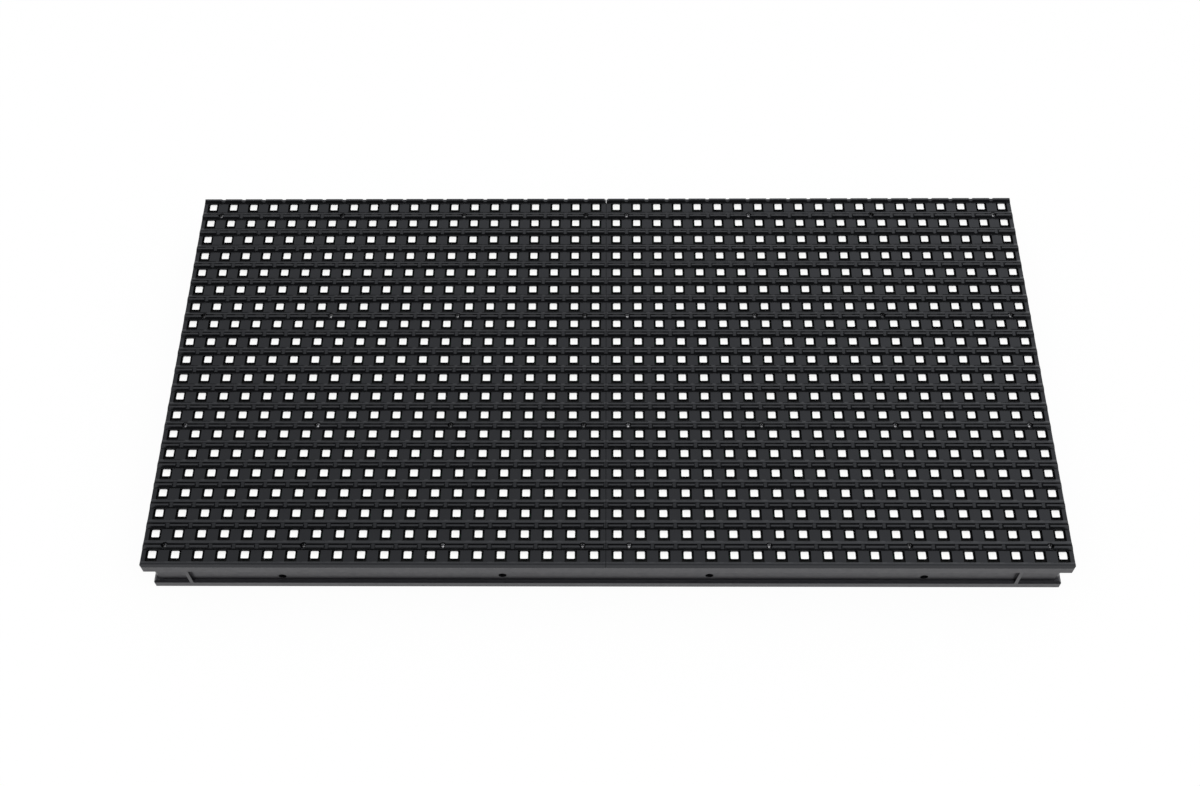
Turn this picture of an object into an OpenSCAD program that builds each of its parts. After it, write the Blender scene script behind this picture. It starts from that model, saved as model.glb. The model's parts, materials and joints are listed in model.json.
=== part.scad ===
// Outdoor LED display module: a louvred mask in two halves, twenty rows of square LEDs on a
// sealed circuit board, and a moulded rear case with its gasket, inserts and headers.
// The module lies on its back: +Z is the lit face, +Y the upper edge of the picture.

/* [Pixel grid] */
// Distance between neighbouring LEDs, both ways
pitch = 8; // [7.6:0.1:9]
// How far the LED grid sits above the middle of the module
grid_shift = 0.775; // [0.5:0.025:1]

/* [LEDs] */
// Side of the square LED body
led_w = 2.75; // [2.4:0.05:2.8]
// Radius of the LED body's corners
led_corner = 0.45; // [0.2:0.05:0.6]
// Height of the LED above its board
led_h = 1.9; // [1.6:0.1:2.4]
// Depth of the LED face below the face of the mask
led_sink = 0.45; // [0.2:0.05:0.7]
// Gap between an LED's corners and the round pocket in the seal
seal_gap = 0.05; // [0.03:0.01:0.15]

/* [Mask] */
// Width that the mask gives up to its neighbours, left and right together
mask_gap_x = 0.6; // [0.4:0.1:1.4]
// Height that the mask gives up to its neighbours, top and bottom together
mask_gap_y = 0.3; // [0.2:0.1:1]
// Thickness of the mask's plate
mask_t = 1.45; // [1.2:0.05:1.8]
// Radius of the mask's outer corners, seen from the front
mask_corner = 0.8; // [0.4:0.1:1.5]
// Gap between the two halves of the mask
seam = 0.15; // [0.1:0.05:0.4]
// Radius of the corners where the two halves meet
seam_corner = 0.5; // [0.2:0.1:1]
// Run of the slope along the mask's lower edge
edge_run = 0.5; // [0.2:0.05:0.7]
// Height of the slope along the mask's lower edge
edge_rise = 1.3; // [0.5:0.05:1.4]
// Height of the shadow gap between the mask's lower edge and the case
edge_gap = 0.25; // [0.1:0.05:0.4]
// Draft of the mask's left and right edges, over their height
edge_draft = 0.45; // [0.1:0.05:0.6]

/* [Windows] */
// Width of the window round each LED
window_w = 4.2; // [3.8:0.1:4.8]
// Reach of the window above the LED's centre
window_above = 1.47; // [1.42:0.01:1.6]
// Reach of the window below the LED's centre
window_below = 2.7; // [2.2:0.05:2.8]
// Land left between the window and the slopes above and below it
window_land = 0.05; // [0.03:0.01:0.15]

/* [Louvres] */
// Height of the louvre above the mask's face
louvre_h = 1.27; // [0.9:0.01:2]
// Thickness of the louvre along its crest
louvre_t = 0.6; // [0.4:0.05:0.8]
// Run of the louvre's front slope
louvre_front_run = 0.68; // [0.4:0.02:0.8]
// Run of the louvre's back slope
louvre_back_run = 1.14; // [0.6:0.02:1.3]
// Height of the ledge behind the louvre, above the mask's face
ledge_h = 0.35; // [0.2:0.01:0.5]
// Run of the bevel up to the ledge
ledge_run = 0.75; // [0.5:0.05:0.9]
// Fall of the ledge away from the louvre, for rain
ledge_fall = 0.1; // [0.05:0.01:0.2]
// Width of the notch in the louvre, at its floor
notch_w = 1; // [0.6:0.1:1.4]
// Width of the notch at the louvre's crest
notch_top_w = 1.8; // [1.5:0.1:2.4]
// Depth of the notch below the louvre's crest
notch_depth = 0.62; // [0.3:0.02:0.7]

/* [Mask screws] */
// Diameter of the screw's shank
screw_d = 1.4; // [1.2:0.1:1.7]
// Length of the screw below its head
screw_l = 8; // [6:0.5:9]
// Diameter of the screw's head
head_d = 2.1; // [2:0.05:2.3]
// Height of the screw's head
head_h = 0.8; // [0.6:0.05:1]
// Width of the cross cut in the screw's head
cross_w = 0.4; // [0.2:0.05:0.5]
// Length of the cross cut in the screw's head
cross_l = 1.45; // [1.2:0.05:1.7]
// Depth of the cross cut in the screw's head
cross_depth = 0.4; // [0.2:0.05:0.5]
// Clearance all round the screw's head in its counterbore
head_clear = 0.15; // [0.1:0.05:0.3]
// Clearance all round the screw's shank in the mask and board
shank_clear = 0.15; // [0.05:0.05:0.3]
// Plate left below the screw's head
seat_t = 0.95; // [0.6:0.05:1.1]
// Wall of the mask's foot round each screw
foot_wall = 1.1; // [0.6:0.1:1.4]

/* [Board] */
// Thickness of the circuit board
pcb_t = 1.6; // [1.2:0.1:2]
// Clearance round the circuit board in the case
pcb_clear = 0.15; // [0.1:0.05:0.25]

/* [Rear case] */
// Depth of the case, from its rear plane to the face that carries the mask
case_d = 16.8; // [15:0.1:20]
// Inset of the case's flange from the mask, left and right
flange_inset_x = 0.05; // [0:0.05:0.6]
// Inset of the case's flange from the mask, top and bottom
flange_inset_y = 0.225; // [0.1:0.025:0.25]
// Thickness of the rim that surrounds the board
rim_t = 0.7; // [0.5:0.05:0.75]
// Thickness of the flange below the board
flange_t = 0.9; // [0.7:0.1:1.5]
// Inset of the case's wall from its flange
wall_inset = 2; // [1.5:0.1:3]
// Thickness of the case's wall
wall_t = 1.6; // [1.2:0.1:2.2]
// Further inset of the wall and the lip at the two ends
end_inset = 0.25; // [0.1:0.05:0.8]
// Inset of the rear lip from the flange
lip_inset = 0.75; // [0.5:0.05:1.2]
// Height of the rear lip
lip_h = 3.6; // [3:0.1:5]
// Width of the rear lip
lip_w = 5.8; // [5.2:0.1:7]
// Bevel along the top of the rear lip's outer edge
lip_bevel = 0.8; // [0.3:0.1:1]
// Radius of the flange's corners
flange_corner = 0.4; // [0.4:0.1:1.6]
// Radius of the wall's corners
wall_corner = 1.2; // [0.8:0.1:3]
// Radius of the rear lip's corners
lip_corner = 0.4; // [0.3:0.1:3]
// Fillet between the wall and the flange, drawn as a bevel
wall_bevel = 0.5; // [0.2:0.1:0.8]
// Thickness of the ribs across the case
rib_t = 1.6; // [1.2:0.1:2.4]
// Depth of the ribs and screw bosses below the board
rib_h = 9; // [8.5:0.5:11]
// Diameter of the screw bosses
boss_d = 5; // [4:0.2:6]
// Thickness of the gussets across the groove
gusset_t = 1.2; // [0.8:0.1:2]
// Distance of the gussets from the ends of the flange
gusset_end = 15.6; // [8:0.2:30]
// Shift of the gussets and of the outer pair of holes towards the left end
wall_shift = 1.2; // [0:0.1:3]

/* [Wall holes] */
// Diameter of the holes in the lower wall
hole_d = 2.8; // [2:0.1:3]
// Distance between the inner pair of holes
hole_inner_span = 72; // [50:1:90]
// Height of the inner pair above the rear plane
hole_inner_z = 6.6; // [5.8:0.1:8]
// Distance between the outer pair of holes
hole_outer_span = 223.6; // [180:0.2:250]
// Height of the outer pair above the rear plane
hole_outer_z = 5.6; // [5.1:0.1:8]

/* [Rear gasket] */
// Distance from the lip's edge to the gasket's groove
gasket_edge = 1.3; // [1:0.1:1.6]
// Width of the gasket
gasket_w = 2.8; // [2:0.1:3]
// Clearance on either side of the gasket in its groove
gasket_clear = 0.1; // [0.05:0.05:0.2]
// Depth of the groove, which the clamped gasket fills
gasket_h = 2; // [1.2:0.1:2.4]

/* [Mounting inserts] */
// Diameter of the threaded bore, M4
insert_bore = 3.3; // [2.5:0.1:4.2]
// Outer diameter of the insert
insert_d = 5.6; // [5:0.1:6.4]
// Length of the insert
insert_l = 8; // [5:0.5:10]
// Depth of the two grooves that lock the insert in its post
insert_groove = 0.3; // [0.1:0.05:0.5]
// Wall of the post round the insert
post_wall = 1.9; // [1.4:0.1:2.4]
// Distance from the case's inner wall to the middle of the post
post_reach = 10; // [8:0.5:12]
// Distance between the outer columns of posts
post_span = 256; // [230:1:280]

/* [Headers] */
// Distance between the data headers
data_span = 264; // [250:1:276]
// Pin pitch of the data headers
data_pitch = 2.54; // [2:0.01:2.6]
// Side of a square data pin
data_pin = 0.64; // [0.5:0.02:0.8]
// Width of a data header
data_w = 8.9; // [8.5:0.1:9.5]
// Height of a data header
data_h = 8.9; // [8:0.1:10]
// Wall of a data header
data_wall = 1.2; // [0.9:0.1:1.4]
// Floor of a data header
data_floor = 2.4; // [1.5:0.1:3]
// Width of the key slot in a data header
key_w = 4.5; // [3:0.1:6]
// Length of a data header past its last pins
data_end = 5.05; // [4.5:0.05:6]
// Pin pitch of the power header
power_pitch = 3.96; // [3.5:0.01:4.5]
// Side of a square power pin
power_pin = 1.14; // [0.9:0.02:1.4]
// Width of the power header
power_w = 8.5; // [7.5:0.1:9.5]
// Height of the power header's locking wall
power_h = 9.4; // [8:0.1:10.4]
// Floor of the power header
power_floor = 3.2; // [2:0.1:4]
// Length of the power header past its last pins
power_end = 2; // [1.5:0.1:3]
// Thickness of the power header's locking wall
power_wall = 1.2; // [0.8:0.1:1.6]
// Depth of the pins' tips below the rim of their header
tip_depth = 1; // [0.5:0.1:2]
// Clearance between a pin's corner and its hole in the board
pin_clear = 0.05; // [0.03:0.01:0.15]

/* [Chips] */
// Length of an LED driver's body
driver_l = 8.65; // [8:0.05:10]
// Width of a narrow chip's body
chip_w = 3.9; // [3.5:0.1:4.5]
// Height of a chip
chip_h = 1.5; // [1.2:0.1:2]
// Draft of a chip's long sides, above and below its middle
chip_draft = 0.15; // [0.05:0.05:0.3]
// Diameter of the half-round mark at the upper end of a chip
mark_d = 1; // [0.6:0.1:1.4]
// Depth of that mark
mark_t = 0.15; // [0.05:0.05:0.3]
// Distance between the LED drivers in a bay
driver_step = 18.5; // [16:0.5:19]
// Length of a scan switch's body
switch_l = 4.9; // [4.5:0.1:5.5]
// Distance between the scan switches
switch_step = 9; // [8:0.5:10]
// Shift of the scan switches towards the module's end
switch_shift = 6; // [4:0.5:6.5]
// Length of the line decoder's body
decoder_l = 9.9; // [9:0.1:11]
// Length of a buffer's body
buffer_l = 12.8; // [12:0.1:14]
// Width of a buffer's body
buffer_w = 7.5; // [7:0.1:8]
// Distance of the middle bay's chips from its centre line
chip_row = 11; // [9.5:0.5:13]

/* [Capacitors and resistors] */
// Diameter of a bulk capacitor's can
can_d = 6.3; // [5:0.1:8]
// Height of a bulk capacitor
can_h = 5.8; // [5:0.1:8]
// Thickness of a bulk capacitor's base
can_base = 1; // [0.6:0.1:1.5]
// Reach of that base past the can, on every side
can_edge = 0.15; // [0.1:0.05:0.4]
// Distance of the first bulk capacitor from the power header's middle
can_first = 18; // [16:0.5:20]
// Distance between the bulk capacitors
can_step = 14; // [10:0.5:16]
// Length of a ceramic capacitor
ceramic_l = 2; // [1.6:0.1:3.2]
// Length of a set resistor
resistor_l = 1.6; // [1:0.1:2]
// Width of a ceramic capacitor
ceramic_w = 1.2; // [0.8:0.1:1.6]
// Height of a ceramic capacitor
ceramic_h = 1; // [0.6:0.1:1.4]
// Width of a set resistor
resistor_w = 0.8; // [0.5:0.1:1.2]
// Height of a set resistor
resistor_h = 0.5; // [0.3:0.05:0.8]
// Gap between a driver and the small parts above and below it
small_gap = 1.2; // [0.6:0.1:2]

/* [Hidden] */
$fn = 48;
overlap = 0.01;
// Counts of the pixel grid, set by the five-line scan and the sixteen outputs of a driver
cols = 40;
rows = 20;
// Screw columns and rows, in pitches from the middle
screw_cols = [-19, -13, -7, -1, 1, 7, 13, 19];
screw_rows = [-9, -3, 3, 9];
// Ribs across the case, in pitches from the middle
rib_cols = [-7, 7];
rib_rows = [-3, 3];
// Middle of each column of bays, and of the driver rows
driver_rows = [-6, 6];
drivers_in_bay = 5;
switches_in_bay = 5;

// Outlines, across the module
mask_w = cols * pitch - mask_gap_x;
mask_l = rows * pitch - mask_gap_y;
flange_w = mask_w - 2 * flange_inset_x;
flange_l = mask_l - 2 * flange_inset_y;
base_w = flange_w - 2 * end_inset;
rim_w = flange_w - 2 * rim_t;
rim_l = flange_l - 2 * rim_t;
pcb_w = rim_w - 2 * pcb_clear;
pcb_l = rim_l - 2 * pcb_clear;
inner_w = base_w - 2 * (wall_inset + wall_t);
inner_l = flange_l - 2 * (wall_inset + wall_t);
lip_inner_l = flange_l - 2 * (lip_inset + lip_w);
groove_inset = lip_inset + gasket_edge;
groove_w = gasket_w + 2 * gasket_clear;
groove_corner = 1.5;
inner_corner = 0.5;
// Span, height and shift of each pair of wall holes
hole_pairs = [
    [hole_inner_span, hole_inner_z, 0],
    [hole_outer_span, hole_outer_z, wall_shift],
];
post_y = inner_l / 2 - post_reach;
post_d = insert_d + 2 * post_wall;
side_bay_x = (inner_w / 2 + rib_cols[1] * pitch) / 2;

// Levels, up from the rear plane
face_z = case_d + mask_t;
led_z = face_z - led_sink;
board_z = led_z - led_h;
back_z = board_z - pcb_t;
flange_z = back_z - flange_t;
crest_z = face_z + louvre_h;
seat_z = case_d + seat_t;

data_l = 7 * data_pitch + 2 * data_end;
power_l = 3 * power_pitch + 2 * power_end;
switch_first = (side_bay_x + rib_cols[1] * pitch) / 2 - 2 * switch_step + switch_shift;
foot_d = screw_d + 2 * (shank_clear + foot_wall);

// Slopes of the mask, from an LED's centre up to its louvre and down to the next ledge
louvre_foot = window_above + window_land;
ledge_below = window_below + window_land;
// Round pocket in the seal that clears an LED's corners
pocket_d = (led_w - 2 * led_corner) * sqrt(2) + 2 * (led_corner + seal_gap);

function row_y(row) = grid_shift + ((rows - 1) / 2 - row) * pitch;
function col_x(col) = (col - (cols - 1) / 2) * pitch;
function row_name(row) = str("led_row_", row < 9 ? "0" : "", row + 1);

// A rectangle about the origin with rounded corners
module rounded(w, l, r) {
    square([w - 2 * r, l], center = true);
    square([w, l - 2 * r], center = true);
    for (x = [-1, 1], y = [-1, 1])
        translate([x * (w / 2 - r), y * (l / 2 - r)])
            circle(r);
}

// Children at every mask screw
module at_screws() {
    for (x = screw_cols, y = screw_rows)
        translate([x * pitch, y * pitch, 0])
            children();
}

// Section of the mask across its rows, as points of depth and height
function louvre_section(row) = let (y = row_y(row), foot = y + louvre_foot) [
    [foot + louvre_front_run + louvre_t + louvre_back_run, face_z + ledge_h + ledge_fall],
    [foot + louvre_front_run + louvre_t, crest_z],
    [foot + louvre_front_run, crest_z],
    [foot, face_z],
    [y - ledge_below, face_z],
    [y - ledge_below - ledge_run, face_z + ledge_h],
];

// The ledge runs on past the lowest row, and the outline trims both ends
module mask_section() {
    last = row_y(rows - 1) - ledge_below - ledge_run;
    polygon(concat(
        [[mask_l / 2 + pitch, case_d], [mask_l / 2 + pitch, face_z + ledge_h]],
        [for (row = [0 : rows - 1]) each louvre_section(row)],
        [[last - pitch, face_z + ledge_h], [last - pitch, case_d]]
    ));
}

// Outline of the right half of the mask, with its windows
module mask_outline() {
    half_w = (mask_w - seam) / 2;
    difference() {
        translate([seam / 2, -mask_l / 2]) {
            translate([seam_corner, 0])
                square([half_w - seam_corner - mask_corner, mask_l]);
            translate([0, seam_corner])
                square([seam_corner + overlap, mask_l - 2 * seam_corner]);
            translate([half_w - mask_corner - overlap, mask_corner])
                square([mask_corner + overlap, mask_l - 2 * mask_corner]);
            for (y = [seam_corner, mask_l - seam_corner])
                translate([seam_corner, y])
                    circle(seam_corner);
            for (y = [mask_corner, mask_l - mask_corner])
                translate([half_w - mask_corner, y])
                    circle(mask_corner);
        }
        for (row = [0 : rows - 1], col = [cols / 2 : cols - 1])
            translate([col_x(col) - window_w / 2, row_y(row) - window_below])
                square([window_w, window_above + window_below]);
    }
}

// Right half of the mask; the left half is its mirror image
module mask_half() {
    reach = mask_l + 2 * pitch;
    difference() {
        union() {
            intersection() {
                rotate([90, 0, 90])
                    linear_extrude(mask_w / 2)
                        mask_section();
                linear_extrude(crest_z + 1)
                    mask_outline();
            }
            for (x = screw_cols, y = screw_rows)
                if (x > 0)
                    translate([x * pitch, y * pitch, board_z])
                        cylinder(d = foot_d, h = seat_z - board_z - overlap);
        }
        for (line = [0 : cols / 2 - 1])
            translate([line * pitch, reach / 2, crest_z])
                rotate([90, 0, 0])
                    linear_extrude(reach)
                        polygon([
                            [-notch_w / 2, -notch_depth],
                            [notch_w / 2, -notch_depth],
                            [notch_top_w / 2, 0],
                            [notch_top_w / 2, 1],
                            [-notch_top_w / 2, 1],
                            [-notch_top_w / 2, 0],
                        ]);
        for (x = screw_cols, y = screw_rows)
            if (x > 0)
                translate([x * pitch, y * pitch, 0]) {
                    cylinder(d = screw_d + 2 * shank_clear, h = crest_z + 1);
                    translate([0, 0, seat_z])
                        cylinder(d = head_d + 2 * head_clear, h = crest_z);
                }
        translate([mask_w / 2, reach / 2, face_z])
            rotate([90, 0, 0])
                linear_extrude(reach)
                    polygon([
                        [0, -edge_draft],
                        [-edge_draft, louvre_h + overlap],
                        [1, louvre_h + overlap],
                        [1, -edge_draft],
                    ]);
        translate([-1, -mask_l / 2, face_z + ledge_h])
            rotate([90, 0, 90])
                linear_extrude(mask_w)
                    polygon([
                        [2 * edge_run, edge_rise],
                        [0, -edge_rise],
                        [-1, -edge_rise],
                        [-1, edge_rise],
                    ]);
        translate([-1, -mask_l / 2 - 1, case_d - 1])
            cube([mask_w, 1 + flange_inset_y + rim_t / 2, 1 + edge_gap]);
    }
}

module mask_left() {
    color("#2c2d30")
        mirror([1, 0, 0])
            mask_half();
}

module mask_right() {
    color("#2c2d30")
        mask_half();
}

// Cross-head screws, their heads sunk in the mask
module mask_screws() {
    color("#b9bcc0")
        at_screws()
            difference() {
                union() {
                    translate([0, 0, seat_z])
                        cylinder(d = head_d, h = head_h);
                    translate([0, 0, seat_z - screw_l])
                        cylinder(d = screw_d, h = screw_l + overlap);
                }
                for (turn = [0, 90])
                    translate([0, 0, seat_z + head_h])
                        rotate([0, 0, turn])
                            cube([cross_l, cross_w, 2 * cross_depth], center = true);
            }
}

// One row of LEDs, standing on the board
module led_row(row) {
    color("#f7f7f5")
        for (col = [0 : cols - 1])
            translate([col_x(col), row_y(row), board_z])
                linear_extrude(led_h)
                    rounded(led_w, led_w, led_corner);
}

// Poured seal that fills the rim between the board and the mask
module potting_seal() {
    color("#17181a")
        translate([0, 0, board_z])
            linear_extrude(case_d - board_z)
                difference() {
                    square([rim_w, rim_l], center = true);
                    for (row = [0 : rows - 1], col = [0 : cols - 1])
                        translate([col_x(col), row_y(row)])
                            circle(d = pocket_d);
                    for (x = screw_cols, y = screw_rows)
                        translate([x * pitch, y * pitch])
                            circle(d = foot_d);
                }
}

// Children at each data pin of a header
module at_data_pins() {
    for (row = [-0.5, 0.5], place = [-3.5 : 3.5])
        translate([row * data_pitch, place * data_pitch, 0])
            children();
}

module at_power_pins() {
    for (place = [-1.5 : 1.5])
        translate([place * power_pitch, 0, 0])
            children();
}

module pcb() {
    color("#1d4a2c")
        difference() {
            translate([-pcb_w / 2, -pcb_l / 2, back_z])
                cube([pcb_w, pcb_l, pcb_t]);
            at_screws()
                translate([0, 0, back_z - 1])
                    cylinder(d = screw_d + 2 * shank_clear, h = pcb_t + 2);
            for (side = [-1, 1])
                translate([side * data_span / 2, 0, back_z - 1])
                    at_data_pins()
                        cylinder(d = data_pin * sqrt(2) + 2 * pin_clear, h = pcb_t + 2);
            translate([0, 0, back_z - 1])
                at_power_pins()
                    cylinder(d = power_pin * sqrt(2) + 2 * pin_clear, h = pcb_t + 2);
        }
}

// A band of the case below its flange: the outline drawn in, between two levels
module case_band(inset, corner, bottom, top) {
    translate([0, 0, bottom])
        linear_extrude(top - bottom)
            rounded(base_w - 2 * inset, flange_l - 2 * inset, corner);
}

// Children at each mounting post
module at_posts() {
    for (x = [-post_span / 2, 0, post_span / 2], y = [-post_y, post_y])
        translate([x, y, 0])
            children();
}

// What the bevel takes off the lip, on all four sides
module lip_bevels() {
    w = base_w / 2 - lip_inset;
    l = flange_l / 2 - lip_inset;
    for (side = [[0, l, w], [90, w, l], [180, l, w], [270, w, l]])
        rotate([0, 0, side[0]])
            translate([-side[2] - 1, -side[1], lip_h])
                rotate([90, 0, 90])
                    linear_extrude(2 * side[2] + 2)
                        polygon([
                            [lip_bevel, 0],
                            [0, -lip_bevel],
                            [-1, -lip_bevel],
                            [-1, 1],
                            [lip_bevel, 1],
                        ]);
}

// Flange, groove wall and rear lip, hollow behind the board
module case_shell() {
    difference() {
        union() {
            case_band(lip_inset, lip_corner, 0, lip_h);
            case_band(wall_inset, wall_corner, lip_h - overlap, flange_z + overlap);
            translate([0, 0, flange_z])
                linear_extrude(case_d - flange_z)
                    rounded(flange_w, flange_l, flange_corner);
        }
        lip_bevels();
        case_band(lip_inset + lip_w, inner_corner, -1, lip_h + 1);
        case_band(wall_inset + wall_t, inner_corner, lip_h, case_d);
        translate([-rim_w / 2, -rim_l / 2, back_z])
            cube([rim_w, rim_l, case_d]);
        difference() {
            case_band(groove_inset, groove_corner, -1, gasket_h);
            case_band(groove_inset + groove_w, inner_corner, -2, gasket_h + 1);
        }
    }
}

// Bevel along the top of the groove, on the two long sides
module groove_bevels() {
    length = base_w - 2 * (wall_inset + wall_corner);
    for (side = [0, 180])
        rotate([0, 0, side])
            translate([-length / 2, wall_inset - flange_l / 2, flange_z])
                rotate([90, 0, 90])
                    linear_extrude(length)
                        polygon([
                            [overlap, overlap],
                            [-wall_bevel, overlap],
                            [overlap, -wall_bevel],
                        ]);
}

// Gussets that bridge the groove near its ends
module gussets() {
    for (x = [-1, 1], y = [-1, 1])
        translate([
            x * (flange_w / 2 - gusset_end) - wall_shift - gusset_t / 2,
            y * (flange_l / 2 - (wall_inset + lip_inset) / 2) - (wall_inset - lip_inset) / 2,
            lip_h - lip_bevel,
        ])
            cube([gusset_t, wall_inset - lip_inset, flange_z + overlap - lip_h + lip_bevel]);
}

// Ribs, screw bosses and mounting posts inside the case
module case_inside() {
    rib_z = back_z - rib_h;
    for (y = rib_rows)
        translate([-inner_w / 2 - overlap, y * pitch - rib_t / 2, rib_z])
            cube([inner_w + 2 * overlap, rib_t, rib_h]);
    for (x = rib_cols)
        translate([x * pitch - rib_t / 2, -inner_l / 2 - overlap, rib_z])
            cube([rib_t, inner_l + 2 * overlap, rib_h]);
    at_screws()
        translate([0, 0, rib_z])
            cylinder(d = boss_d, h = rib_h);
    for (x = screw_cols, y = [screw_rows[0], screw_rows[3]])
        translate([x * pitch - rib_t / 2, (y < 0) ? -inner_l / 2 - overlap : y * pitch, rib_z])
            cube([rib_t, inner_l / 2 + overlap - abs(y) * pitch, rib_h]);
    at_posts()
        cylinder(d = post_d, h = back_z);
    for (x = [-post_span / 2, 0, post_span / 2], side = [0, 180])
        rotate([0, 0, side])
            translate([x - rib_t / 2, post_y, 0]) {
                cube([rib_t, lip_inner_l / 2 + overlap - post_y, back_z]);
                translate([0, 0, lip_h])
                    cube([rib_t, inner_l / 2 + overlap - post_y, back_z - lip_h]);
            }
}

module rear_case() {
    color("#26272a")
        difference() {
            union() {
                case_shell();
                groove_bevels();
                gussets();
                case_inside();
            }
            at_screws()
                translate([0, 0, seat_z - screw_l - 0.5])
                    cylinder(d = screw_d, h = screw_l);
            at_posts() {
                translate([0, 0, -1])
                    cylinder(d = insert_d, h = insert_l + 1);
                cylinder(d = insert_bore, h = insert_l + 3);
            }
            for (pair = hole_pairs, x = [-1, 1])
                translate([x * pair[0] / 2 - pair[2], wall_inset + wall_t + 1 - flange_l / 2, pair[1]])
                    rotate([90, 0, 0])
                        cylinder(d = hole_d, h = wall_t + 2);
        }
}

// Rubber ring, drawn at its clamped height, level with the lip
module rear_gasket() {
    color("#141414")
        difference() {
            case_band(groove_inset + gasket_clear, groove_corner, 0, gasket_h);
            case_band(groove_inset + gasket_clear + gasket_w, inner_corner, -1, gasket_h + 1);
        }
}

module mount_inserts() {
    color("#c9a24a")
        at_posts()
            difference() {
                cylinder(d = insert_d, h = insert_l);
                translate([0, 0, -1])
                    cylinder(d = insert_bore, h = insert_l + 2);
                for (share = [0.3, 0.65])
                    translate([0, 0, insert_l * share])
                        difference() {
                            cylinder(d = insert_d + 1, h = insert_l * 0.12);
                            translate([0, 0, -1])
                                cylinder(d = insert_d - 2 * insert_groove, h = insert_l);
                        }
            }
}

// Shrouded header, open to the rear, keyed on its inner side
module data_header(side) {
    color("#1b1b1c")
        translate([side * data_span / 2, 0, back_z])
            difference() {
                translate([-data_w / 2, -data_l / 2, -data_h])
                    cube([data_w, data_l, data_h]);
                translate([data_wall - data_w / 2, data_wall - data_l / 2, -data_h - 1])
                    cube([data_w - 2 * data_wall, data_l - 2 * data_wall, data_h + 1 - data_floor]);
                translate([-side * data_w / 2 - data_wall, -key_w / 2, -data_h - 1])
                    cube([2 * data_wall, key_w, data_h + 1 - data_floor]);
                translate([0, 0, -data_h])
                    at_data_pins()
                        translate([-data_pin / 2, -data_pin / 2, 0])
                            cube([data_pin, data_pin, data_h + 1]);
            }
}

module data_pins(side) {
    color("#d4b25a")
        translate([side * data_span / 2, 0, back_z])
            at_data_pins()
                translate([-data_pin / 2, -data_pin / 2, tip_depth - data_h])
                    cube([data_pin, data_pin, data_h - tip_depth + pcb_t]);
}

// Open power header: a floor with a locking wall along one side
module power_header() {
    color("#e6e2d4")
        translate([-power_l / 2, -power_w / 2, back_z])
            difference() {
                union() {
                    translate([0, 0, -power_floor])
                        cube([power_l, power_w, power_floor]);
                    translate([0, 0, -power_h])
                        cube([power_l, power_wall, power_h]);
                }
                translate([power_l / 2, power_w / 2, -power_floor - 1])
                    at_power_pins()
                        translate([-power_pin / 2, -power_pin / 2, 0])
                            cube([power_pin, power_pin, power_floor + 2]);
            }
}

module power_pins() {
    color("#c4c7ca")
        translate([0, 0, back_z])
            at_power_pins()
                translate([-power_pin / 2, -power_pin / 2, tip_depth - power_h])
                    cube([power_pin, power_pin, power_h - tip_depth + pcb_t]);
}

// Moulded body of a chip on the back of the board, with a half-round mark at its upper end
module chip(body_l, body_w) {
    difference() {
        translate([0, body_l / 2, back_z])
            rotate([90, 0, 0])
                linear_extrude(body_l)
                    polygon([
                        [chip_draft - body_w / 2, 0],
                        [-body_w / 2, -chip_h / 2],
                        [chip_draft - body_w / 2, -chip_h],
                        [body_w / 2 - chip_draft, -chip_h],
                        [body_w / 2, -chip_h / 2],
                        [body_w / 2 - chip_draft, 0],
                    ]);
        translate([0, body_l / 2, back_z - chip_h - 1])
            cylinder(d = mark_d, h = mark_t + 1);
    }
}

// Children at each LED driver
module at_drivers() {
    for (bay = [-1, 0, 1], y = driver_rows, place = [0 : drivers_in_bay - 1])
        translate([bay * side_bay_x + (place - (drivers_in_bay - 1) / 2) * driver_step, y * pitch, 0])
            children();
}

module led_driver_chips() {
    color("#202124")
        at_drivers()
            chip(driver_l, chip_w);
}

// Scan switches, above the middle line of the two outer bays
module row_driver_chips() {
    color("#202124")
        for (side = [-1, 1], place = [0 : switches_in_bay - 1])
            translate([side * (switch_first + place * switch_step), chip_row, 0])
                chip(switch_l, chip_w);
}

// Input and output buffers, below the middle line of the two outer bays
module buffer_chips() {
    color("#202124")
        for (side = [-1, 1], place = [0, 1])
            translate([side * (switch_first + (1 + 2 * place) * switch_step), -chip_row, 0])
                chip(buffer_l, buffer_w);
}

// Line decoder, beside the power header
module decoder_chip() {
    color("#202124")
        translate([0, -chip_row - power_w / 2, 0])
            rotate([0, 0, 90])
                chip(decoder_l, chip_w);
}

// Aluminium cans either side of the power header
module bulk_capacitors() {
    color("#b4b7bb")
        for (side = [-1, 1], place = [0, 1])
            translate([side * (can_first + place * can_step), 0, back_z]) {
                translate([-can_d / 2 - can_edge, -can_d / 2 - can_edge, -can_base])
                    cube([can_d + 2 * can_edge, can_d + 2 * can_edge, can_base]);
                translate([0, 0, -can_h])
                    cylinder(d = can_d, h = can_h - can_base + overlap);
            }
}

// One ceramic capacitor above each driver
module ceramic_capacitors() {
    color("#b59a72")
        at_drivers()
            translate([0, (driver_l + ceramic_w) / 2 + small_gap, back_z - ceramic_h / 2])
                cube([ceramic_l, ceramic_w, ceramic_h], center = true);
}

// One resistor below each driver, which sets its current
module resistors() {
    color("#1e1e20")
        at_drivers()
            translate([0, -(driver_l + resistor_w) / 2 - small_gap, back_z - resistor_h / 2])
                cube([resistor_l, resistor_w, resistor_h], center = true);
}

mask_left();
mask_right();
mask_screws();
for (row = [0 : rows - 1])
    led_row(row);
potting_seal();
pcb();
rear_case();
rear_gasket();
mount_inserts();
data_header(-1);  // data_in_header
data_pins(-1);  // data_in_pins
data_header(1);  // data_out_header
data_pins(1);  // data_out_pins
power_header();
power_pins();
led_driver_chips();
row_driver_chips();
buffer_chips();
decoder_chip();
bulk_capacitors();
ceramic_capacitors();
resistors();
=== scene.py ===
import json
import math

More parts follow.
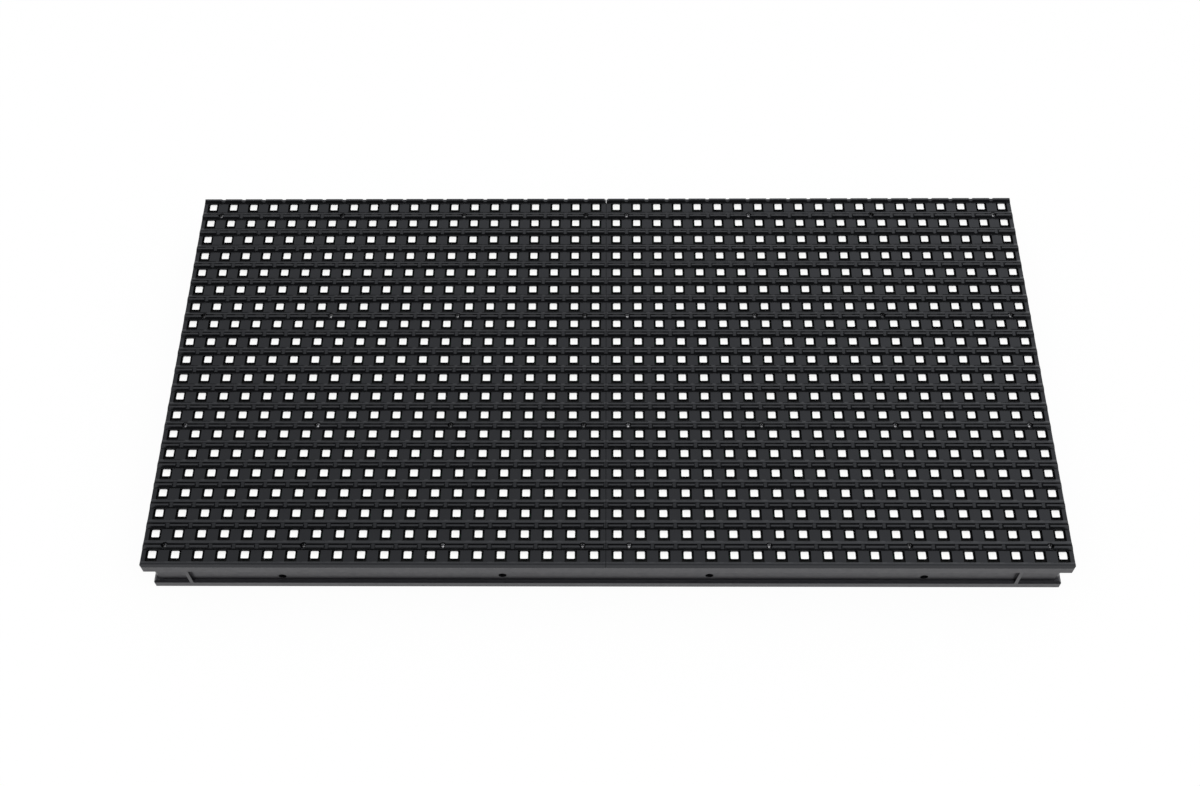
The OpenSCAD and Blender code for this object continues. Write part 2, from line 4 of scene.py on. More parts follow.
import bmesh
import bpy
from mathutils import Matrix, Vector

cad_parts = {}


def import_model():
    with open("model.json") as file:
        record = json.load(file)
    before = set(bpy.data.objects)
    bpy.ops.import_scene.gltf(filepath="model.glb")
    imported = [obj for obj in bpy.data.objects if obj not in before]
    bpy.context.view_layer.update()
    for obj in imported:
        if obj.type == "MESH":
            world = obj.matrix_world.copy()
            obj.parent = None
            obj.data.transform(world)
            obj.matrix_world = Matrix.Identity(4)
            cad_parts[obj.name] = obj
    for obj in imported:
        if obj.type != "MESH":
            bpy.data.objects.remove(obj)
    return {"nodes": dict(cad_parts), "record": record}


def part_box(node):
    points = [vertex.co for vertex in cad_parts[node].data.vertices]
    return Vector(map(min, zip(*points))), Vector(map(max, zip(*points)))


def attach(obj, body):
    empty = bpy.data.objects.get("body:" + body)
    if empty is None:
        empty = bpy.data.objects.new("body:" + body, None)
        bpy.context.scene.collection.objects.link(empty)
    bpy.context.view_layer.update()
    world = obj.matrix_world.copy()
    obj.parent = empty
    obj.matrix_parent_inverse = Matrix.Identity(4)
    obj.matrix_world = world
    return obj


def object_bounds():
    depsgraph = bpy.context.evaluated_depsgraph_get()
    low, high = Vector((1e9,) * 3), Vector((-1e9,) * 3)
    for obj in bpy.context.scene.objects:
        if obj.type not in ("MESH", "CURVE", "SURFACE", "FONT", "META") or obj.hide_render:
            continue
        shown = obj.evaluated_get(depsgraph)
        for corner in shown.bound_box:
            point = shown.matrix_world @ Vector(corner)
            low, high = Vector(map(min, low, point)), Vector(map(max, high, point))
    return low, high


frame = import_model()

MM = 0.001
CAD_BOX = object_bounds()
NODES = frame["nodes"]

# Pixel grid, read from the first and last LED rows
LED_ROWS = sorted(name for name in NODES if name.startswith("led_row_"))
TOP_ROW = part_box(LED_ROWS[0])
LAST_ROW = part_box(LED_ROWS[-1])
LED_SIDE = TOP_ROW[1].y - TOP_ROW[0].y
LED_TOP = TOP_ROW[1].z
PITCH = (TOP_ROW[0].y - LAST_ROW[0].y) / (len(LED_ROWS) - 1)
GRID_X = (TOP_ROW[0].x + TOP_ROW[1].x) / 2
GRID_Y = (TOP_ROW[1].y + LAST_ROW[0].y) / 2

# Levels of the board and the mask
BOARD_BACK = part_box("pcb")[0].z
MASK_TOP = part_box("mask_left")[1].z

# LED face: its cup, its three dies, and the edges that the seal has wetted
FACE_MOTTLE = 1.5 * MM
CUP_RADIUS = 0.42 * LED_SIDE
CUP_SOFT = 0.08 * MM
CUP_DEPTH = 0.03 * MM
CUP_SHARE = 0.5
DIE_STEP = 0.22 * LED_SIDE
DIE_ROW = 1.35 * DIE_STEP
DIE_HALF_X = 0.1 * MM
DIE_HALF_Y = 0.13 * MM
DIE_SOFT = 0.04 * MM
DIE_SHARE = 0.15
WET_SIDE = 0.16 * MM
WET_RIM_X = 0.02 * MM
WET_SOFT = 0.05 * MM

# Moulded plastic, and its louvres: how far a face leans where it is a back, painted darker as shade, and
# where a crest begins, painted paler as a highlight
NOISE_ROUGHNESS = 0.55
EDGE_SAMPLES = 4
TONE_SIZE = 9 * MM
SHINE_SIZE = 2.2 * MM
GRAIN_DEPTH = 0.02 * MM
BACK_SLOPE = (0.46, 0.54)
CREST_START = MASK_TOP - 0.1 * MM
CREST_END = MASK_TOP - 0.02 * MM

# Metal
SCRATCH_DEPTH = 0.01 * MM
THREAD_DEPTH = 0.3 * MM
SCREW_DOME = 1.0 * MM
SCREW_GRAIN = 0.3 * MM
# Painted glints: noise size and range over which some screws get a brighter, more reflective colour
SCREW_GLINT_SIZE = 23 * MM
SCREW_GLINT_SPAN = (0.42, 0.58)
CAN_BASE = 1.0 * MM
CAN_BASE_SOFT = 0.02 * MM
CAN_TONE_SIZE = 1.5 * MM
CAN_SHINE_SIZE = 0.6 * MM
CAN_GRAIN = 0.3 * MM

# Circuit board: a track's half width and soft edge are shares of its step, a via's edge of its cell
TRACK_AREA = 14 * MM
TRACK_STEP = 0.9 * MM
TRACK_HALF = 0.14
TRACK_SOFT = 0.06
TRACK_HEIGHT = 0.03 * MM
TRACK_SHARE = 0.8
VIA_STEP = 5 * MM
VIA_EDGE = (0.05, 0.07)
VIA_RISE = 1.5
RESIST_TONE_SIZE = 6 * MM
RESIST_SHINE_SIZE = 3 * MM

# Chip leads: a lead's middle line as (out, up) in millimetres, its solder pad, and two sizes of lead
LEAD_PATH = ((-0.2, 0.75), (0.28, 0.75), (0.42, 0.66), (0.54, 0.26), (0.7, 0.14), (1.2, 0.13))
LEAD_THICK = 0.2 * MM
PAD_START = 0.5 * MM
PAD_END = 1.5 * MM
PAD_THICK = 0.03 * MM
PAD_SHARE = 1.4
FINE_LEAD = {"step": 0.635 * MM, "width": 0.25 * MM}
WIDE_LEAD = {"step": 1.27 * MM, "width": 0.42 * MM}

# Distance within which two points of a CAD mesh are one
WELD = 0.0001 * MM

# Tinned end caps, and the dark segment on the cans with its angles in degrees
CAP_SKIN = 0.02 * MM
CAP_BEVEL = 0.04 * MM
MARK_FROM = 125
MARK_ANGLE = 110
MARK_STEPS = 24
MARK_MARGIN = 0.3 * MM
MARK_HALF = 0.02 * MM

# Camera of the photograph
IMAGE_WIDTH = 1200
FOCAL_PIXELS = 1492.8
AXIS_COLUMN = 590.2
SENSOR_WIDTH = 36
NEAR_CLIP = 0.01
EYE = Vector((1.0 * MM, -297.6 * MM, 481.5 * MM))
FORWARD = Vector((-0.01242, 0.5272, -0.84964)).normalized()
RIGHT_HINT = Vector((0.99992, 0.00647, -0.01061))

# Studio: the room's strength by direction, the floor, and a lamp on the camera's side
SKY_COLOUR = (0.97, 0.985, 1.0)
SKY_LOW = 1.08
SKY_TOP = 0.5
SKY_TOP_RAMP = (0.74, 1.0)
SKY_BEHIND = 0.08
SKY_BEHIND_RAMP = (-0.92, -0.55)
SKY_LEFT = 0.7
SKY_RIGHT = 1.1
SKY_SIDE_RAMP = (-0.25, 0.25)
FLOOR_SIZE = 6
FLOOR_GREY = 0.9
FLOOR_WHITE = 0.94
LAMP_PLACE = Vector((0, -0.45, 1.75))
LAMP_SIZE = (3.0, 1.3)
LAMP_COLOUR = (1.0, 0.98, 0.96)
LAMP_POWER = 19


def rgb(red, green, blue):
    return (red, green, blue, 1.0)


# Node helpers

class Nodes:
    """A node tree, the coordinates that it works in, and short ways to add nodes to it."""

    def __init__(self, tree, coordinates):
        self.tree = tree
        self.place = self.node("ShaderNodeTexCoord").outputs[coordinates]

    def node(self, kind, **settings):
        made = self.tree.nodes.new(kind)
        for key, value in settings.items():
            setattr(made, key, value)
        return made

    def put(self, socket, value):
        """Link an output to a socket, or set the socket to a number or colour."""
        if isinstance(value, bpy.types.NodeSocket):
            self.tree.links.new(value, socket)
        else:
            socket.default_value = value

    def component(self, vector, axis):
        """One component of a vector output."""
        split = self.node("ShaderNodeSeparateXYZ")
        self.put(split.inputs[0], vector)
        return split.outputs[axis]

    def axis(self, name):
        """Coordinate along one axis."""
        return self.component(self.place, name)

    def math(self, operation, a, b=0.0):
        made = self.node("ShaderNodeMath", operation=operation)
        self.put(made.inputs[0], a)
        self.put(made.inputs[1], b)
        return made.outputs[0]

    def product(self, first, *others):
        """Product of several values."""
        for other in others:
            first = self.math("MULTIPLY", first, other)
        return first

    def square_sum(self, x, y):
        return self.math("ADD", self.math("MULTIPLY", x, x), self.math("MULTIPLY", y, y))

    def span(self, value, low, high, start=0.3, end=0.7):
        """Value from start to end, spread over low to high."""
        made = self.node("ShaderNodeMapRange", clamp=True)
        self.put(made.inputs["Value"], value)
        self.put(made.inputs["From Min"], start)
        self.put(made.inputs["From Max"], end)
        self.put(made.inputs["To Min"], low)
        self.put(made.inputs["To Max"], high)
        return made.outputs[0]

    def inside(self, value, half, soft):
        """1 where value is within half of zero, falling to 0 over the width soft beyond it."""
        return self.span(self.math("ABSOLUTE", value), 1, 0, half, half + soft)


class Shader(Nodes):
    """A node material with a Principled surface, worked out in metres of the shared frame."""

    def __init__(self, name):
        self.material = bpy.data.materials.new(name)
        self.material.use_nodes = True
        super().__init__(self.material.node_tree, "Object")
        self.surface = self.tree.nodes["Principled BSDF"]

    def from_grid(self, name, origin):
        """Distance along one axis from the nearest point of a grid at the LEDs' pitch."""
        cells = self.math("DIVIDE", self.math("SUBTRACT", self.axis(name), origin - PITCH / 2), PITCH)
        return self.math("MULTIPLY", self.math("SUBTRACT", self.math("FRACT", cells), 0.5), PITCH)

    def facing(self, name):
        """Share of the face's true normal along one axis."""
        return self.component(self.node("ShaderNodeNewGeometry").outputs["True Normal"], name)

    def noise(self, size, detail=3.0):
        """Noise whose features are about size metres across, from 0 to 1."""
        made = self.node("ShaderNodeTexNoise")
        self.put(made.inputs["Vector"], self.place)
        self.put(made.inputs["Scale"], 1 / size)
        self.put(made.inputs["Detail"], detail)
        self.put(made.inputs["Roughness"], NOISE_ROUGHNESS)
        return made.outputs["Fac"]

    def cells(self, size):
        """Voronoi cells about size metres across: their distance and colour outputs."""
        made = self.node("ShaderNodeTexVoronoi", feature="F1")
        self.put(made.inputs["Vector"], self.place)
        self.put(made.inputs["Scale"], 1 / size)
        return made.outputs["Distance"], made.outputs["Color"]

    def mix(self, share, a, b):
        """Colour a where share is 0, colour b where it is 1, in the Mix node's own sockets for colour."""
        made = self.node("ShaderNodeMix", data_type="RGBA")
        self.put(made.inputs[0], share)
        self.put(made.inputs[6], a)
        self.put(made.inputs[7], b)
        return made.outputs[2]

    def soft_edges(self, radius):
        """Normal that rounds the edges of a moulding."""
        made = self.node("ShaderNodeBevel", samples=EDGE_SAMPLES)
        self.put(made.inputs["Radius"], radius)
        return made.outputs["Normal"]

    def bump(self, height, depth, strength=1.0, under=None):
        """Bump of that depth in metres, on top of another normal where one is given."""
        made = self.node("ShaderNodeBump")
        self.put(made.inputs["Height"], height)
        self.put(made.inputs["Distance"], depth)
        self.put(made.inputs["Strength"], strength)
        if under is not None:
            self.put(made.inputs["Normal"], under)
        return made.outputs["Normal"]

    def finish(self, colour, roughness, normal, **others):
        """Fill the surface's sockets, the others by name with _ for a space, and return the material."""
        self.put(self.surface.inputs["Base Color"], colour)
        self.put(self.surface.inputs["Roughness"], roughness)
        self.put(self.surface.inputs["Normal"], normal)
        for key, value in others.items():
            self.put(self.surface.inputs[key.replace("_", " ")], value)
        return self.material


# Materials, where dark and light are the ends of a colour's range and rough is the range of roughness

def grain_look(shader, dark, light, rough, grain, edge):
    """Colour, roughness and normal of moulded plastic: fine grain, slow changes of tone, soft edges."""
    tone = shader.span(shader.noise(TONE_SIZE, detail=4), 0, 1)
    shine = shader.span(shader.noise(SHINE_SIZE), *rough)
    under = shader.soft_edges(edge) if edge else None
    normal = shader.bump(shader.noise(grain, detail=2), GRAIN_DEPTH, strength=0.2, under=under)
    return shader.mix(tone, rgb(*dark), rgb(*light)), shine, normal


def moulded(name, dark, light, rough, grain, edge=0.0, level=0.5, tint=(1, 1, 1)):
    """Moulded plastic, rubber or ceramic. Level and tint are those of its highlights."""
    shader = Shader(name)
    look = grain_look(shader, dark, light, rough, grain, edge)
    return shader.finish(*look, IOR=1.5, Specular_IOR_Level=level, Specular_Tint=rgb(*tint))


def louvre_plastic(name, dark, light, rough, grain, edge):
    """Moulded plastic of the mask: matt and painted darker as shade on the slopes behind the louvres, with a
    painted highlight along their crests.
    """
    shader = Shader(name)
    colour, shine, normal = grain_look(shader, dark, light, rough, grain, edge)
    # Painted shade: slopes that face +Y take a darker colour, and their highlights are nearly off
    back = shader.span(shader.facing("Y"), 0, 1, *BACK_SLOPE)
    colour = shader.mix(back, colour, rgb(0.0036, 0.0037, 0.0043))
    # Painted highlight: a paler colour along the top of each louvre, standing in for the light its crest
    # catches
    crest = shader.span(shader.axis("Z"), 0, 1, CREST_START, CREST_END)
    colour = shader.mix(crest, colour, rgb(0.014, 0.0143, 0.0155))
    level = shader.span(back, 0.5, 0.01, 0, 1)
    tint = rgb(0.91, 0.93, 1.0)
    return shader.finish(colour, shine, normal, IOR=1.5, Specular_IOR_Level=level, Specular_Tint=tint)


def led_body(name):
    """White-faced LED: a round cup with three faint dies, and edges that the dark seal has wetted."""
    shader = Shader(name)
    x = shader.from_grid("X", GRID_X + PITCH / 2)
    y = shader.from_grid("Y", GRID_Y + PITCH / 2)
    reach = shader.math("SQRT", shader.square_sum(x, y))
    cup = shader.span(reach, 1, 0, CUP_RADIUS - CUP_SOFT, CUP_RADIUS)

    # The fold peaks on the middle of each die
    fold = shader.math("PINGPONG", shader.math("ADD", x, DIE_STEP / 2), DIE_STEP / 2)
    die_edge = DIE_STEP / 2 - DIE_HALF_X
    dies = shader.product(
        shader.span(fold, 0, 1, die_edge - DIE_SOFT, die_edge),
        shader.inside(y, DIE_HALF_Y, DIE_SOFT),
        shader.inside(x, DIE_ROW, DIE_SOFT),
    )
    face = shader.mix(shader.noise(FACE_MOTTLE), rgb(0.945, 0.945, 0.945), rgb(0.965, 0.965, 0.96))
    face = shader.mix(shader.math("MULTIPLY", cup, CUP_SHARE), face, rgb(0.955, 0.955, 0.93))
    face = shader.mix(shader.math("MULTIPLY", dies, DIE_SHARE), face, rgb(0.75, 0.72, 0.62))

    half = LED_SIDE / 2 - WET_SOFT
    bare = shader.product(
        shader.span(shader.axis("Z"), 0, 1, LED_TOP - WET_SIDE, LED_TOP - WET_SIDE / 2),
        shader.inside(x, half - WET_RIM_X, WET_SOFT),
        shader.inside(y, half, WET_SOFT),
    )
    colour = shader.mix(bare, rgb(0.012, 0.012, 0.013), face)
    shine = shader.span(cup, 0.45, 0.25, 0, 1)
    normal = shader.bump(shader.math("MULTIPLY", cup, -1), CUP_DEPTH, strength=0.4)
    return shader.finish(colour, shine, normal, IOR=1.45)


def metal(name, dark, light, rough, size, thread=0.0):
    """Plated or turned metal with fine scratches, and a thread's ridges where a pitch is given."""
    shader = Shader(name)
    tone = shader.span(shader.noise(size, detail=4), 0, 1)
    shine = shader.span(shader.noise(size / 3), *rough)
    normal = shader.bump(shader.noise(size / 8), SCRATCH_DEPTH, strength=0.3)
    if thread:
        turn = shader.math("PINGPONG", shader.axis("Z"), thread / 2)
        ridge = shader.math("DIVIDE", turn, thread / 2)
        normal = shader.bump(ridge, THREAD_DEPTH, strength=0.8, under=normal)
    return shader.finish(shader.mix(tone, rgb(*dark), rgb(*light)), shine, normal, Metallic=1.0)


def screw_metal(name):
    """Dark plated screws with domed heads, some painted more reflective than others to stand in for glints
    that differ from screw to screw.
    """
    shader = Shader(name)
    square = shader.square_sum(shader.from_grid("X", 0.0), shader.from_grid("Y", 0.0))
    dome = shader.math("DIVIDE", square, -2 * SCREW_DOME)
    # Painted glints: a brighter colour on some screws stands in for glints that differ from screw to screw
    glint_variety = shader.span(shader.noise(SCREW_GLINT_SIZE), 0, 1, *SCREW_GLINT_SPAN)
    shine = shader.span(shader.noise(SCREW_GRAIN), 0.2, 0.3)
    colour = shader.mix(glint_variety, rgb(0.06, 0.06, 0.063), rgb(0.3, 0.3, 0.31))
    return shader.finish(colour, shine, shader.bump(dome, 1.0), Metallic=1.0)


def board_face(name):
    """Circuit board: green resist over copper tracks that run both ways, with small vias."""
    shader = Shader(name)
    area = shader.node("ShaderNodeSeparateColor")
    shader.put(area.inputs[0], shader.cells(TRACK_AREA)[1])
    turned = shader.math("GREATER_THAN", area.outputs[0], 0.5)
    tracks = []
    for axis, share in (("X", turned), ("Y", shader.math("SUBTRACT", 1.0, turned))):
        step = shader.math("FRACT", shader.math("DIVIDE", shader.axis(axis), TRACK_STEP))
        line = shader.inside(shader.math("SUBTRACT", step, 0.5), TRACK_HALF, TRACK_SOFT)
        tracks.append(shader.math("MULTIPLY", line, share))
    lines = shader.math("ADD", *tracks)
    via = shader.span(shader.cells(VIA_STEP)[0], 1, 0, *VIA_EDGE)
    resist = shader.mix(shader.noise(RESIST_TONE_SIZE), rgb(0.006, 0.045, 0.02), rgb(0.01, 0.062, 0.028))
    colour = shader.mix(shader.math("MULTIPLY", lines, TRACK_SHARE), resist, rgb(0.018, 0.1, 0.046))
    colour = shader.mix(via, colour, rgb(0.3, 0.31, 0.3))
    height = shader.math("ADD", lines, shader.math("MULTIPLY", via, VIA_RISE))
    shine = shader.span(shader.noise(RESIST_SHINE_SIZE), 0.28, 0.4)
    return shader.finish(colour, shine, shader.bump(height, TRACK_HEIGHT, strength=0.6), IOR=1.5)


def can_face(name):
    """Drawn aluminium can on a dark moulded base."""
    shader = Shader(name)
    joint = BOARD_BACK - CAN_BASE
    base = shader.span(shader.axis("Z"), 0, 1, joint - CAN_BASE_SOFT, joint + CAN_BASE_SOFT)
    tone = shader.noise(CAN_TONE_SIZE, detail=4)
    drawn = shader.mix(tone, rgb(0.68, 0.69, 0.71), rgb(0.82, 0.83, 0.84))
    colour = shader.mix(base, drawn, rgb(0.015, 0.015, 0.016))
    shine = shader.span(shader.noise(CAN_SHINE_SIZE), 0.2, 0.32)
    shine = shader.math("ADD", shine, shader.math("MULTIPLY", base, 0.25))
    normal = shader.bump(shader.noise(CAN_GRAIN), SCRATCH_DEPTH, strength=0.3)
    return shader.finish(colour, shine, normal, Metallic=shader.math("SUBTRACT", 1.0, base))


# What makes the material of each record slot, and its look
FINISHES = {
    "mask_plastic": (louvre_plastic, {
        "dark": (0.0032, 0.0033, 0.0038), "light": (0.0045, 0.0047, 0.0053), "rough": (0.16, 0.22),
        "grain": 0.22 * MM, "edge": 0.09 * MM,
    }),
    "case_plastic": (moulded, {
        "dark": (0.0016, 0.0016, 0.002), "light": (0.0026, 0.0026, 0.0031), "rough": (0.31, 0.4),
        "grain": 0.3 * MM, "edge": 0.12 * MM, "level": 0.58, "tint": (0.91, 0.9, 1.0),
    }),
    "led_white": (led_body, {}),
    "screw_steel": (screw_metal, {}),
    "seal": (moulded, {
        "dark": (0.002, 0.002, 0.0022), "light": (0.0035, 0.0035, 0.0038), "rough": (0.45, 0.6),
        "grain": 0.8 * MM, "level": 0.15,
    }),
    "board": (board_face, {}),
    "gasket_rubber": (moulded, {
        "dark": (0.01, 0.01, 0.01), "light": (0.018, 0.018, 0.018), "rough": (0.7, 0.85),
        "grain": 0.4 * MM,
    }),
    "insert_brass": (metal, {
        "dark": (0.62, 0.43, 0.16), "light": (0.78, 0.58, 0.26), "rough": (0.25, 0.4),
        "size": 1.2 * MM, "thread": 0.7 * MM,
    }),
    "data_plastic": (moulded, {
        "dark": (0.01, 0.01, 0.011), "light": (0.018, 0.018, 0.019), "rough": (0.4, 0.55),
        "grain": 0.3 * MM, "edge": 0.1 * MM,
    }),
    "data_pin_metal": (metal, {
        "dark": (0.78, 0.56, 0.2), "light": (0.9, 0.7, 0.32), "rough": (0.18, 0.3),
        "size": 0.6 * MM,
    }),
    "power_plastic": (moulded, {
        "dark": (0.7, 0.66, 0.54), "light": (0.78, 0.75, 0.64), "rough": (0.4, 0.55),
        "grain": 0.4 * MM, "edge": 0.12 * MM,
    }),
    "power_pin_metal": (metal, {
        "dark": (0.66, 0.66, 0.67), "light": (0.8, 0.8, 0.81), "rough": (0.2, 0.35),
        "size": 0.8 * MM,
    }),
    "chip_plastic": (moulded, {
        "dark": (0.012, 0.012, 0.013), "light": (0.02, 0.02, 0.022), "rough": (0.5, 0.65),
        "grain": 0.25 * MM, "edge": 0.06 * MM,
    }),
    "can_metal": (can_face, {}),
    "ceramic": (moulded, {
        "dark": (0.3, 0.2, 0.11), "light": (0.38, 0.27, 0.15), "rough": (0.4, 0.55),
        "grain": 0.2 * MM,
    }),
    "resistor": (moulded, {
        "dark": (0.01, 0.01, 0.012), "light": (0.018, 0.018, 0.02), "rough": (0.3, 0.45),
        "grain": 0.2 * MM,
    }),
}
MATERIALS = {slot: make(slot, **look) for slot, (make, look) in FINISHES.items()}

for part in frame["record"]["subparts"]:
    mesh = NODES[part["node"]].data
    mesh.materials.clear()
    mesh.materials.append(MATERIALS[part["material_slot"]])


# Leads, caps and marks of the parts on the back of the board

def solids(node):
    """Boxes of the separate solids in a CAD node, as pairs of corners."""
    form = bmesh.new()
    form.from_mesh(NODES[node].data)
    bmesh.ops.remove_doubles(form, verts=form.verts, dist=WELD)
    left = set(form.verts)
    boxes = []
    while left:
        group = [left.pop()]
        for vert in group:
            for edge in vert.link_edges:
                other = edge.other_vert(vert)
                if other in left:
                    left.remove(other)
                    group.append(other)
        spots = [vert.co for vert in group]
        low = Vector(min(spot[axis] for spot in spots) for axis in range(3))
        high = Vector(max(spot[axis] for spot in spots) for axis in range(3))
        boxes.append((low, high))
    form.free()
    return sorted(boxes, key=lambda box: tuple(round(value, 6) for value in box[0]))


def add_block(form, low, high, turn=None):
    """A block between two corners, carried through a matrix where one is given."""
    made = bmesh.ops.create_cube(form, size=1.0)["verts"]
    for vert in made:
        spot = Vector(low[axis] + (vert.co[axis] + 0.5) * (high[axis] - low[axis]) for axis in range(3))
        vert.co = turn @ spot if turn else spot


def add_ribbon(form, path, width, thick, turn):
    """A bent strip: path gives its middle line as (out, up), turn carries (along, out, up) to its place."""
    rings = []
    for index, point in enumerate(path):
        before = Vector(path[max(index - 1, 0)])
        after = Vector(path[min(index + 1, len(path) - 1)])
        way = (after - before).normalized()
        side = Vector((-way.y, way.x)) * thick / 2
        ring = []
        for along, sign in ((-1, -1), (1, -1), (1, 1), (-1, 1)):
            spot = Vector((along * width / 2, point[0] + sign * side.x, point[1] + sign * side.y))
            ring.append(form.verts.new(turn @ spot))
        rings.append(ring)
    for first, second in zip(rings, rings[1:]):
        for corner in range(4):
            following = (corner + 1) % 4
            form.faces.new((first[corner], first[following], second[following], second[corner]))
    form.faces.new(rings[0][::-1])
    form.faces.new(rings[-1])


def piece(name, form, slot, bevel=0.0):
    """Make the form a piece of the module that takes the finish of a record slot."""
    bmesh.ops.recalc_face_normals(form, faces=form.faces)
    mesh = bpy.data.meshes.new(name)
    form.to_mesh(mesh)
    form.free()
    made = bpy.data.objects.new(name, mesh)
    bpy.context.scene.collection.objects.link(made)
    mesh.materials.append(MATERIALS[slot])
    if bevel:
        soft = made.modifiers.new("edges", "BEVEL")
        soft.width = bevel
        soft.segments = 2
    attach(made, "root")


def lead_turn(long_axis, sign, along, side):
    """Matrix that carries (along the chip, out of its side, away from the board) to a lead's place."""
    out_axis = 1 - long_axis
    turn = Matrix.Diagonal((0, 0, -1, 1))
    turn[long_axis][0] = 1
    turn[out_axis][1] = sign
    turn[long_axis][3] = along
    turn[out_axis][3] = side
    turn[2][3] = BOARD_BACK
    return turn


def chip_leads(name, node, per_side, step, width):
    """Gull-wing leads and their pads along both long sides of every chip in a node."""
    form = bmesh.new()
    path = [(out * MM, up * MM) for out, up in LEAD_PATH]
    pad_half = PAD_SHARE * width / 2
    for low, high in solids(node):
        middle = (low + high) / 2
        long_axis = 0 if high.x - low.x > high.y - low.y else 1
        for sign, corner in ((-1, low), (1, high)):
            for number in range(per_side):
                along = middle[long_axis] + (number - (per_side - 1) / 2) * step
                turn = lead_turn(long_axis, sign, along, corner[1 - long_axis])
                add_ribbon(form, path, width, LEAD_THICK, turn)
                add_block(form, (-pad_half, PAD_START, 0), (pad_half, PAD_END, PAD_THICK), turn)
    piece(name, form, "power_pin_metal")


def end_caps(name, node, length):
    """Tinned caps round both ends of every small part in a node."""
    form = bmesh.new()
    for low, high in solids(node):
        for start, end in ((low.x - CAP_SKIN, low.x + length), (high.x - length, high.x + CAP_SKIN)):
            add_block(form, (start, low.y - CAP_SKIN, low.z - CAP_SKIN), (end, high.y + CAP_SKIN, high.z))
    piece(name, form, "power_pin_metal", bevel=CAP_BEVEL)


def can_marks(name):
    """Dark segment on the top of each bulk capacitor, over its negative lead."""
    form = bmesh.new()
    count = MARK_STEPS + 1
    angles = [math.radians(MARK_FROM + MARK_ANGLE * turn / MARK_STEPS) for turn in range(count)]
    for low, high in solids("bulk_capacitors"):
        middle = (low + high) / 2
        radius = (high.x - low.x) / 2 - MARK_MARGIN
        outline = [(middle.x + radius * math.cos(a), middle.y + radius * math.sin(a)) for a in angles]
        outer, inner = (
            [form.verts.new((*spot, level)) for spot in outline]
            for level in (low.z - MARK_HALF, low.z + MARK_HALF)
        )
        form.faces.new(outer)
        form.faces.new(inner)
        for index in range(count):
            after = (index + 1) % count
            form.faces.new((outer[index], outer[after], inner[after], inner[index]))
    piece(name, form, "chip_plastic")


chip_leads("driver_leads", "led_driver_chips", per_side=12, **FINE_LEAD)
chip_leads("row_driver_leads", "row_driver_chips", per_side=4, **WIDE_LEAD)
chip_leads("buffer_leads", "buffer_chips", per_side=10, **WIDE_LEAD)
chip_leads("decoder_leads", "decoder_chip", per_side=8, **WIDE_LEAD)
end_caps("ceramic_caps", "ceramic_capacitors", length=0.45 * MM)
end_caps("resistor_caps", "resistors", length=0.3 * MM)
can_marks("can_marks")


# Studio

def floor():
    """Pale floor that takes the shadow and, outside the case, looks white to the eye and in reflections."""
    bpy.ops.mesh.primitive_plane_add(size=FLOOR_SIZE, location=(0, 0, CAD_BOX[0].z))
    plane = bpy.context.object
    plane.name = "floor"
    shader = Shader("floor_white")
    path = shader.node("ShaderNodeLightPath")
    seen = shader.math("MAXIMUM", path.outputs["Is Camera Ray"], path.outputs["Is Glossy Ray"])
    seen = shader.math("MAXIMUM", seen, path.outputs["Is Transmission Ray"])
    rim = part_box("rear_gasket")[1]
    across, along = (
        shader.math("GREATER_THAN", shader.math("ABSOLUTE", shader.axis(axis)), limit)
        for axis, limit in (("X", rim.x), ("Y", rim.y))
    )
    outside = shader.math("MAXIMUM", across, along)
    matt = shader.node("ShaderNodeBsdfDiffuse")
    shader.put(matt.inputs["Color"], rgb(FLOOR_GREY, FLOOR_GREY, FLOOR_GREY))
    white = shader.node("ShaderNodeEmission")
    shader.put(white.inputs["Color"], rgb(1, 1, 1))
    blend = shader.node("ShaderNodeMixShader")
    shader.put(blend.inputs[0], shader.product(seen, outside, FLOOR_WHITE))
    shader.put(blend.inputs[1], matt.outputs[0])
    shader.put(blend.inputs[2], white.outputs[0])
    shader.put(shader.tree.nodes["Material Output"].inputs["Surface"], blend.outputs[0])
    plane.data.materials.append(shader.material)


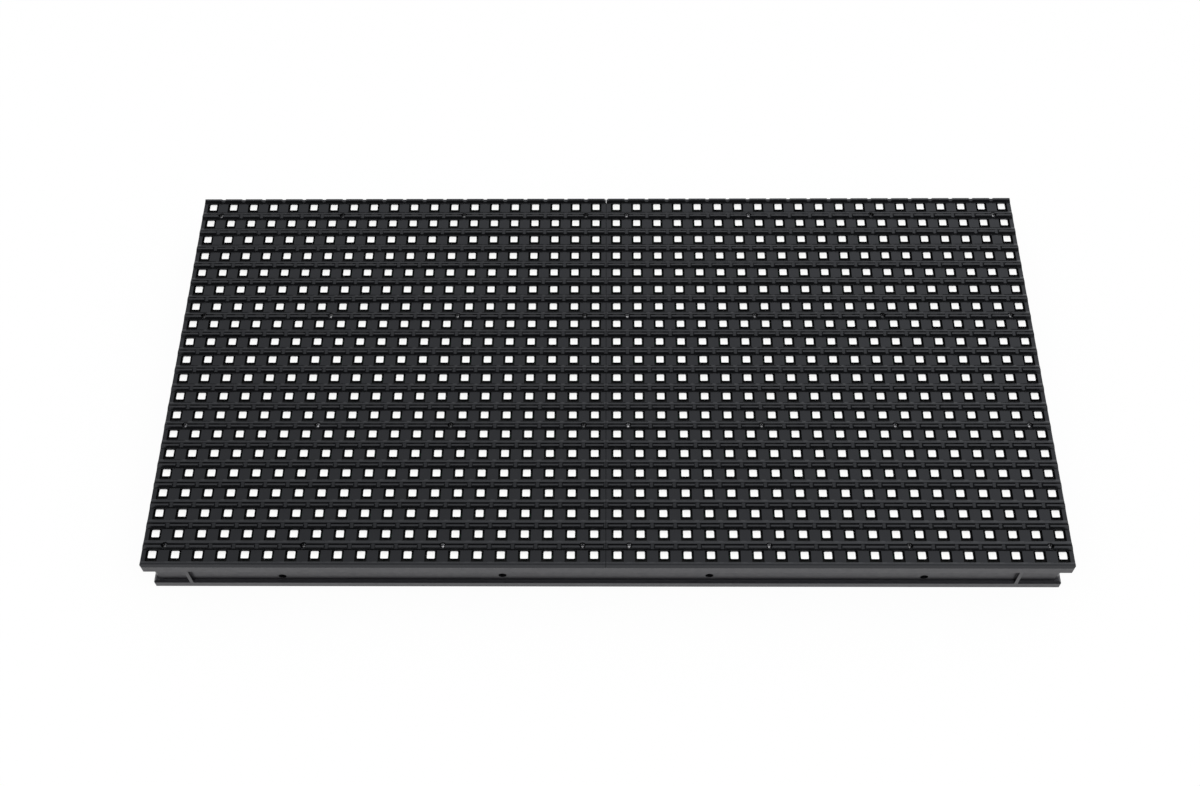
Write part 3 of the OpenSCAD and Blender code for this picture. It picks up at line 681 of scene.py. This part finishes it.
def world():
    """White room, dimmer overhead, at the left and behind the camera, that the camera sees as white."""
    made = bpy.data.worlds.new("studio")
    made.use_nodes = True
    sky = Nodes(made.node_tree, "Generated")
    room = sky.product(
        sky.span(sky.axis("Z"), SKY_LOW, SKY_TOP, *SKY_TOP_RAMP),
        sky.span(sky.axis("Y"), SKY_BEHIND, 1.0, *SKY_BEHIND_RAMP),
        sky.span(sky.axis("X"), SKY_LEFT, SKY_RIGHT, *SKY_SIDE_RAMP),
    )
    seen = sky.node("ShaderNodeLightPath").outputs["Is Camera Ray"]
    background = made.node_tree.nodes["Background"]
    sky.put(background.inputs["Strength"], sky.span(seen, room, 1.0, 0, 1))
    sky.put(background.inputs["Color"], rgb(*SKY_COLOUR))
    bpy.context.scene.world = made


def lamp():
    """Wide soft lamp high up on the camera's side, turned to the middle of the module."""
    light = bpy.data.lights.new("camera_side", "AREA")
    light.shape = "RECTANGLE"
    light.size, light.size_y = LAMP_SIZE
    light.energy = LAMP_POWER
    light.color = LAMP_COLOUR
    made = bpy.data.objects.new("camera_side", light)
    made.location = LAMP_PLACE
    made.rotation_euler = (-LAMP_PLACE).to_track_quat("-Z", "Y").to_euler()
    bpy.context.scene.collection.objects.link(made)


def camera():
    """Camera at the photograph's place: above the lower edge, looking down across the face."""
    right = (RIGHT_HINT - RIGHT_HINT.dot(FORWARD) * FORWARD).normalized()
    up = right.cross(FORWARD)
    made = bpy.data.objects.new("camera", bpy.data.cameras.new("camera"))
    made.data.sensor_fit = "HORIZONTAL"
    made.data.sensor_width = SENSOR_WIDTH
    made.data.lens = SENSOR_WIDTH * FOCAL_PIXELS / IMAGE_WIDTH
    made.data.shift_x = 0.5 - AXIS_COLUMN / IMAGE_WIDTH
    made.data.clip_start = NEAR_CLIP
    made.matrix_world = Matrix((
        (right.x, up.x, -FORWARD.x, EYE.x),
        (right.y, up.y, -FORWARD.y, EYE.y),
        (right.z, up.z, -FORWARD.z, EYE.z),
        (0, 0, 0, 1),
    ))
    bpy.context.scene.collection.objects.link(made)
    bpy.context.scene.camera = made


floor()
world()
lamp()
camera()
bpy.context.scene.view_settings.view_transform = "Standard"
